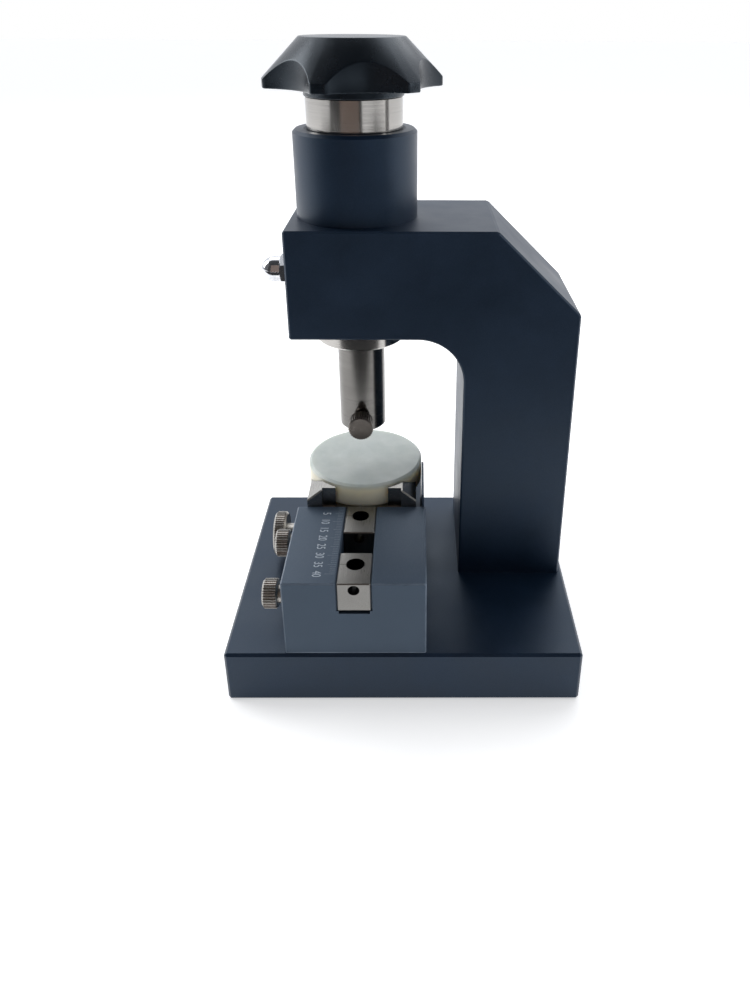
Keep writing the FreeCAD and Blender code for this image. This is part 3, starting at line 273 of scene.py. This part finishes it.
def plated_chrome(name):
    """Nickel-chrome plate on a polished nut: a mirror, with a haze of handling marks.

    The marks are finer than 0.1 mm and are drawn at 0.8 mm so that they show.
    """
    material, tree, surface = new_material(name, Metallic=1.0, Roughness=0.07)
    haze = grain(tree, (0.8, 0.8, 0.8), 4.0, 0.6)
    tree.links.new(shaded(tree, haze, (0.3, 0.7), 1.0, "#E4E5E7", "#C9CBD0"),
                   surface.inputs["Base Color"])
    glossed(tree, surface, haze, 0.05, 0.14)
    bumped(tree, surface, [(haze, 0.02, 0.15)])
    return material


def moulded_phenolic(name):
    """Black phenolic, pressed in a polished mould: an even skin, glossy from hands.

    The mould leaves a faint orange peel of about half a millimetre.
    """
    material, tree, surface = new_material(
        name, Roughness=0.27, IOR=1.5, Specular_Tint=MOULDED_SHEEN)
    peel = grain(tree, (0.5, 0.5, 0.5), 2.0, 0.5)
    hand = grain(tree, (9.0, 9.0, 9.0), 3.0, 0.6)
    colour = shaded(tree, hand, (0.3, 0.7), 1.0, "#03070D", "#070D15")
    colour = shaded(tree, peel, (0.45, 0.8), 0.2, colour, "#111923")
    tree.links.new(colour, surface.inputs["Base Color"])
    glossed(tree, surface, hand, 0.24, 0.3)
    bumped(tree, surface, [(peel, 0.02, 0.1)])
    return material


def turned_nylon(name, top):
    """Natural nylon turned from bar: milky, for light sinks a few millimetres in.

    Its side has yellowed a little with age and oil, and is painted paler than the face
    as painted light that lifts it out of its shade; the face is kept clean by use.
    The tool's rings, about 0.1 mm apart, are drawn at 0.35 mm so that they show.
    """
    material, tree, surface = new_material(
        name, Roughness=0.4, IOR=1.53, Subsurface_Weight=1.0,
        Subsurface_Radius=(1.0, 0.95, 0.85), Subsurface_Scale=5.0 * MM)
    clouds = grain(tree, (7.0, 7.0, 7.0), 3.0, 0.55)
    rings = grain(tree, (9.0, 9.0, 0.35), 2.0, 0.5)
    colour = shaded(tree, clouds, (0.3, 0.7), 1.0, "#C6CCC8", "#B7BFBB")
    # Below the face the colour turns paler and creamier: a little yellowing, and painted
    # light on the side.
    place = add(tree, "ShaderNodeTexCoord", output="Object")
    height = add(tree, "ShaderNodeSeparateXYZ", [place], "Z")
    colour = shaded(tree, height, (top - 0.5 * MM, top - 2.5 * MM), 1.0, colour, "#EAE5D0")
    tree.links.new(colour, surface.inputs["Base Color"])
    glossed(tree, surface, clouds, 0.36, 0.46)
    bumped(tree, surface, [(rings, 0.03, 0.2), (clouds, 0.2, 0.05)])
    return material


def black_oxide(name):
    """Screw steel blackened in a hot bath: dull black, brown where it has rubbed."""
    material, tree, surface = new_material(name, Metallic=0.9, Roughness=0.42)
    rub = grain(tree, (0.8, 0.8, 0.8), 4.0, 0.6)
    tree.links.new(shaded(tree, rub, (0.3, 0.7), 1.0, "#161618", "#3A3532"),
                   surface.inputs["Base Color"])
    glossed(tree, surface, rub, 0.34, 0.5)
    bumped(tree, surface, [(rub, 0.03, 0.25)])
    return material


def filled_engraving(name, full_hex, thin_hex):
    """White enamel wiped into engraved lines: matt, thin and a little uneven."""
    material, tree, surface = new_material(name, Roughness=0.55, IOR=1.48)
    patchy = grain(tree, (0.35, 0.35, 0.35), 3.0, 0.6)
    tree.links.new(shaded(tree, patchy, (0.3, 0.7), 1.0, full_hex, thin_hex),
                   surface.inputs["Base Color"])
    glossed(tree, surface, patchy, 0.5, 0.65)
    return material


def node_box(name):
    """The low and high corners of a carried-over node."""
    low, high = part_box(name)
    return Vector(low), Vector(high)


def finish_node(name, material):
    """Give a carried-over node one material."""
    mesh = nodes[name].data
    mesh.materials.clear()
    mesh.materials.append(material)


# ---------------------------------------------------------------- carried-over nodes

# Each dye as its even colour, its paler clouds and the bare metal of a worn edge.
BODY_NAVY = ("#0A1A2C", "#0E2035", "#465463")
SLATE = ("#34404E", "#3A4756", "#8792A0")

# The sliders' holes, in millimetres.
TOP_HOLE_R = 3.1
TOP_HOLE_FROM_BACK = 6.4
FRONT_HOLE_R = 1.9
FRONT_HOLE_BELOW_TOP = 2.6

for name in ("base_plate", "c_frame", "vise_body", "pad_fence"):
    low, high = node_box(name)
    finish_node(name, anodised(f"navy_anodised_{name}", low, high, *BODY_NAVY, 0.4))
low, high = node_box("work_block")
finish_node("work_block",
            anodised("slate_anodised_block", low, high, *SLATE, 0.42, wear=0.6))

# The milling marks on the jaws run front to back. The ram's, the quill's and the
# screws' marks go round them, or across their faces, as a lathe leaves them.
milled_jaw = cut_steel("milled_steel_jaw", (0.35, 5.0, 0.35),
                       "#A9A7A3", "#7E7B76", 0.22, 0.01, 0.25)
ring_turned = cut_steel("ring_turned_steel", (30.0, 30.0, 0.16),
                        "#BFBCB8", "#94918D", 0.14, 0.004, 0.15)
dull_turned = cut_steel("dull_turned_steel", (30.0, 30.0, 0.2),
                        "#7F7D7A", "#5F5D5A", 0.22, 0.004, 0.15)
face_turned = cut_steel("face_turned_steel", (0.25, 9.0, 9.0),
                        "#B4B1AC", "#807D78", 0.33, 0.02, 0.3)
for name in ("front_slider", "rear_slider"):
    low, high = node_box(name)
    middle = (low.x + high.x) / 2
    top_hole = ((middle, high.y - TOP_HOLE_FROM_BACK * MM, 0.0), 2, TOP_HOLE_R)
    front_hole = ((middle, 0.0, high.z - FRONT_HOLE_BELOW_TOP * MM), 1, FRONT_HOLE_R)
    finish_node(name, cut_steel(f"ground_steel_{name}", (0.22, 9.0, 0.22),
                                "#8F8E8B", "#6B6966", 0.3, 0.02, 0.35,
                                [top_hole, front_hole]))
for name in ("left_jaw", "right_jaw"):
    finish_node(name, milled_jaw)
for name in ("ram", "ram_cap", "return_spring"):
    finish_node(name, ring_turned)
finish_node("punch_holder", dull_turned)
for name in ("front_clamp_screw", "rear_clamp_screw", "jaw_knob", "jaw_screw", "guide_rod",
             "screw_collar", "guide_screw"):
    finish_node(name, face_turned)
finish_node("holder_clamp_screw", cut_steel(
    "knurled_steel_pinch", (9.0, 0.2, 9.0), "#837D77", "#55514D", 0.3, 0.02, 0.3))
screw_black = black_oxide("black_oxide_screw")
for name in ("frame_screws", "block_screws", "vise_screws", "right_jaw_screws",
             "fence_screws"):
    finish_node(name, screw_black)
finish_node("acorn_nut", plated_chrome("chromed_brass_nut"))
finish_node("nylon_pad", turned_nylon("natural_nylon_pad", node_box("nylon_pad")[1].z))

low, high = node_box("guide_sleeve")
finish_node("guide_sleeve",
            anodised("navy_anodised_sleeve", low, high, *BODY_NAVY, 0.38, wear=0.0))


# ---------------------------------------------------------------- palm knob

# The knob, in millimetres: its rim, the hub under it, the skirt's upright face and
# the flat crown on top.
LOBES = 6
RIM_R = 29.4
HUB_R = 16.5
HUB_HIGH = 2.6
SKIRT_TOP = 5.5
CROWN_R = 17.1
CROWN_HIGH = 17.8
# The round hollows between the lobes come this near to the axis, and leave each lobe
# to start this far round from the middle of the hollow.
HOLLOW_REACH = 23.4
HALF_HOLLOW = math.radians(25.0)
FIRST_LOBE = math.radians(12.8)
# Over this many millimetres the upright edges of the lobes are rounded.
LOBE_SOFTNESS = 0.9
RAYS = 720


def rim_at(angle):
    """The knob's outer radius in one direction: the rim, or the hollow that cuts it."""
    tip = Vector((math.cos(HALF_HOLLOW), math.sin(HALF_HOLLOW))) * RIM_R
    centre = (tip.length_squared - HOLLOW_REACH ** 2) / (2 * (tip.x - HOLLOW_REACH))
    hollow_r = centre - HOLLOW_REACH
    pitch = TURN / LOBES
    offset = (angle - FIRST_LOBE - pitch / 2) % pitch
    if offset > pitch / 2:
        offset -= pitch
    side = centre * math.sin(offset)
    if abs(side) >= hollow_r:
        return RIM_R
    cut = centre * math.cos(offset) - math.sqrt(hollow_r ** 2 - side ** 2)
    # A soft least of the two radii rounds the upright edges of each lobe.
    gap = max(LOBE_SOFTNESS - abs(cut - RIM_R), 0.0) / LOBE_SOFTNESS
    return min(cut, RIM_R) - gap * gap * LOBE_SOFTNESS / 4


def palm_knob():
    """Six-lobed cone: each ray runs from the hub out to its own rim and back."""
    bottom = node_box("hand_knob")[0].z
    low, high = node_box("ram_cap")
    foot = Vector(((low.x + high.x) / 2, (low.y + high.y) / 2, bottom))
    slope = (CROWN_HIGH - SKIRT_TOP) / (RIM_R - CROWN_R)
    bm = bmesh.new()
    columns = []
    for step in range(RAYS):
        angle = TURN * step / RAYS
        out = rim_at(angle)
        profile = rounded([
            (0.0, 0.0, 0.0),
            (HUB_R, 0.0, 0.35),
            (HUB_R, HUB_HIGH, 0.25),
            (out, HUB_HIGH, 0.5),
            (out, CROWN_HIGH - (out - CROWN_R) * slope, 0.75),
            (CROWN_R, CROWN_HIGH, 0.7),
            (0.0, CROWN_HIGH, 0.0),
        ])
        ray = Vector((math.cos(angle), math.sin(angle), 0))
        columns.append([bm.verts.new(foot + ray * r * MM + Vector((0, 0, z * MM)))
                        for r, z in profile])
    for step, column in enumerate(columns):
        following = columns[(step + 1) % RAYS]
        for row in range(len(column) - 1):
            bm.faces.new((column[row], following[row],
                          following[row + 1], column[row + 1]))
    piece = new_piece("palm_knob", bm, moulded_phenolic("black_phenolic_knob"), 28.0)
    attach(piece, "ram_group")
    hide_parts("hand_knob")


palm_knob()


# ---------------------------------------------------------------- scale on the block

engraving = filled_engraving("white_filled_engraving", "#C3CCD5", "#95A0AB")
faint_engraving = filled_engraving("worn_engraving", "#95A1AD", "#6C7884")

# The scale, in millimetres. Its marks stand proud by no more than a coat of enamel.
SCALE_LONG = 40
LIFT = 0.012
TICK_TO_CHANNEL = 0.9
TICK_WIDE = 0.1
TEN_TICK, FIVE_TICK, ONE_TICK = 3.4, 2.8, 1.9
FIGURE_TO_TICKS = 6.2
FIGURE_HIGH = 4.3
FIGURE_NARROWED = 0.74
# The scribed line on a slider, from just inside its edge to the rim of its hole.
LINE_WIDE = 0.2
LINE_FROM_EDGE = 0.3
LINE_TO_MIDDLE = 3.3


def flat_bar(bm, x, y, z, wide, long):
    """A thin raised bar lying on the block's top, sizes in millimetres."""
    for vert in bmesh.ops.create_cube(bm, size=1.0)["verts"]:
        vert.co = Vector((x + vert.co.x * wide * MM, y + vert.co.y * long * MM,
                          z + (vert.co.z + 0.5) * LIFT * MM))


def figure(number, place):
    """One filled figure of the scale, read from the press's left side."""
    curve = bpy.data.curves.new(f"figure_{number}", "FONT")
    curve.body = str(number)
    curve.size = FIGURE_HIGH * MM
    curve.align_x = "CENTER"
    curve.align_y = "CENTER"
    curve.extrude = LIFT * MM / 2
    curve.materials.append(engraving)
    piece = bpy.data.objects.new(f"scale_figure_{number}", curve)
    scene.collection.objects.link(piece)
    piece.rotation_euler = (0, 0, -math.pi / 2)
    piece.scale.x = FIGURE_NARROWED
    piece.location = place
    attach(piece, "stand")


def engraved_scale():
    """Millimetre ticks beside the channel, every fifth one longer, and figures."""
    top = node_box("work_block")[1].z
    zero = node_box("work_block")[1].y
    tick_end = node_box("rear_slider")[0].x - TICK_TO_CHANNEL * MM
    bm = bmesh.new()
    for count in range(1, SCALE_LONG + 1):
        long = TEN_TICK if count % 10 == 0 else FIVE_TICK if count % 5 == 0 else ONE_TICK
        flat_bar(bm, tick_end - long / 2 * MM, zero - count * MM, top, long, TICK_WIDE)
    ticks = new_piece("scale_ticks", bm, faint_engraving)
    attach(ticks, "stand")
    for count in range(5, SCALE_LONG + 1, 5):
        figure(count, (tick_end - FIGURE_TO_TICKS * MM, zero - count * MM,
                       top + LIFT * MM / 2))


def index_lines():
    """A dark scribed line on each slider, from its left edge to its hole."""
    ink = black_oxide("darkened_scribed_line")
    for name, body in (("front_slider", "slider_front"), ("rear_slider", "slider_rear")):
        low, high = node_box(name)
        long = (high.x - low.x) / MM / 2 - LINE_TO_MIDDLE
        bm = bmesh.new()
        flat_bar(bm, low.x + (long / 2 + LINE_FROM_EDGE) * MM,
                 high.y - TOP_HOLE_FROM_BACK * MM, high.z, long, LINE_WIDE)
        line = new_piece(f"{name}_index_line", bm, ink)
        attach(line, body)


engraved_scale()
index_lines()


# ---------------------------------------------------------------- room

def plain_surface(name, hex_colour, roughness, **extra):
    """Matt paint or paper for the studio's own surfaces, its tooth drawn coarse."""
    material, tree, surface = new_material(name, Roughness=roughness, **extra)
    tooth = grain(tree, (4.0, 4.0, 4.0), 2.0, 0.5)
    tree.links.new(shaded(tree, tooth, (0.3, 0.7), 0.05, hex_colour, "#F0F0F0"),
                   surface.inputs["Base Color"])
    return material


def upright(start, end, foot, top):
    """The corners of a sheet that stands on the line from start to end."""
    return [(*start, foot), (*end, foot), (*end, top), (*start, top)]


def level(left, right, front, back, height):
    """The corners of a sheet that lies flat."""
    return [(left, front, height), (right, front, height),
            (right, back, height), (left, back, height)]


def sheet_of(name, corners, material):
    """One flat sheet that belongs to the studio and not to the press."""
    bm = bmesh.new()
    bm.faces.new([bm.verts.new(corner) for corner in corners])
    piece = new_piece(name, bm, material)
    return piece


FLOOR_HALF = 6.0
# The floor is a light table: it glows a little, so that shadows on it stay pale.
FLOOR_GLOW = 0.5
sheet_of("studio_floor", level(-FLOOR_HALF, FLOOR_HALF, -FLOOR_HALF, FLOOR_HALF, 0),
         plain_surface("white_studio_floor", "#FBFBFB", 0.8,
                       Emission_Strength=FLOOR_GLOW))


def soft_light(name, place, size, power):
    """A rectangle of light, size in metres and power in watts, aimed at the press."""
    lamp = bpy.data.lights.new(name, "AREA")
    lamp.shape = "RECTANGLE"
    lamp.size, lamp.size_y = size
    lamp.energy = power
    holder = bpy.data.objects.new(name, lamp)
    scene.collection.objects.link(holder)
    holder.location = place
    aim = MIDDLE - Vector(place)
    holder.rotation_euler = aim.to_track_quat("-Z", "Y").to_euler()


MIDDLE = Vector((0.0, 0.0, 0.1))
soft_light("overhead_soft_light", (0.0, 0.75, 1.1), (1.4, 0.9), 6.0)
soft_light("left_soft_light", (-1.0, 0.35, 0.7), (0.6, 0.9), 6.0)
soft_light("right_soft_light", (1.0, -0.1, 0.5), (0.4, 0.8), 3.0)


def dark_card(name, corners, hex_colour):
    """A card that only mirrors see, so that bright metal has something dark to show."""
    card = sheet_of(name, corners, plain_surface(name + "_paper", hex_colour, 0.9))
    card.visible_camera = False
    card.visible_diffuse = False
    card.visible_shadow = False
    card.visible_transmission = False


# The user's side of the room, in metres: a warm card with a dark one on each side of
# it, then a narrow card to the right, a ceiling and the bench in front of the press.
FRONT_Y = -0.9
CARD_FOOT = 0.02
for name, left, right, paper in (("front_card", -0.52, 0.22, "#6A5A51"),
                                 ("front_left_card", -1.3, -0.52, "#1E1D1D"),
                                 ("front_right_card", 0.22, 0.34, "#1E1D1D")):
    dark_card(name, upright((left, FRONT_Y), (right, FRONT_Y), CARD_FOOT, 1.6), paper)
dark_card("right_card", upright((0.9, -0.14), (0.9, 0.03), CARD_FOOT, 1.4), "#26272A")
dark_card("ceiling_card", level(-1.0, 0.9, FRONT_Y, 0.2, 1.3), "#1C2024")
dark_card("bench_card", level(-1.2, 1.2, FRONT_Y, -0.16, 0.004), "#14161A")

world = bpy.data.worlds.new("white_room")
world.use_nodes = True
scene.world = world
air = world.node_tree
sky = air.nodes["Background"]
sky.inputs["Color"].default_value = linear("#F6F9FF")
# The room is bright behind the press and dim on the side where the user stands; the
# camera itself sees plain white behind the press.
direction = add(air, "ShaderNodeTexCoord", output="Generated")
facing = add(air, "ShaderNodeSeparateXYZ", [direction], "Y")
air.links.new(add(air, "ShaderNodeMapRange", [facing, -0.2, 0.5, 0.18, 1.0]),
              sky.inputs["Strength"])
backdrop = add(air, "ShaderNodeBackground", ["#FFFFFF", 1.0])
seen = add(air, "ShaderNodeLightPath", output="Is Camera Ray")
both = add(air, "ShaderNodeMixShader", [seen, sky.outputs[0], backdrop])
air.links.new(both, air.nodes["World Output"].inputs["Surface"])


# ---------------------------------------------------------------- camera

camera_data = bpy.data.cameras.new("bench_camera")
camera = bpy.data.objects.new("bench_camera", camera_data)
scene.collection.objects.link(camera)
scene.camera = camera
CAMERA_PLACE = (0.00404, -0.2576, 0.22113)
PITCH_DOWN = 24.907
YAW_RIGHT = 0.399
ROLL = 0.269
camera_data.sensor_fit = "HORIZONTAL"
camera_data.sensor_width = 36.0
camera_data.lens = 38.50
camera_data.shift_x = -0.0612
camera_data.shift_y = -0.1609
camera_data.clip_start = 0.01
camera.matrix_world = (
    Matrix.Translation(CAMERA_PLACE)
    @ Matrix.Rotation(math.radians(-YAW_RIGHT), 4, "Z")
    @ Matrix.Rotation(math.radians(90 - PITCH_DOWN), 4, "X")
    @ Matrix.Rotation(math.radians(ROLL), 4, "Z"))

bpy.context.view_layer.update()
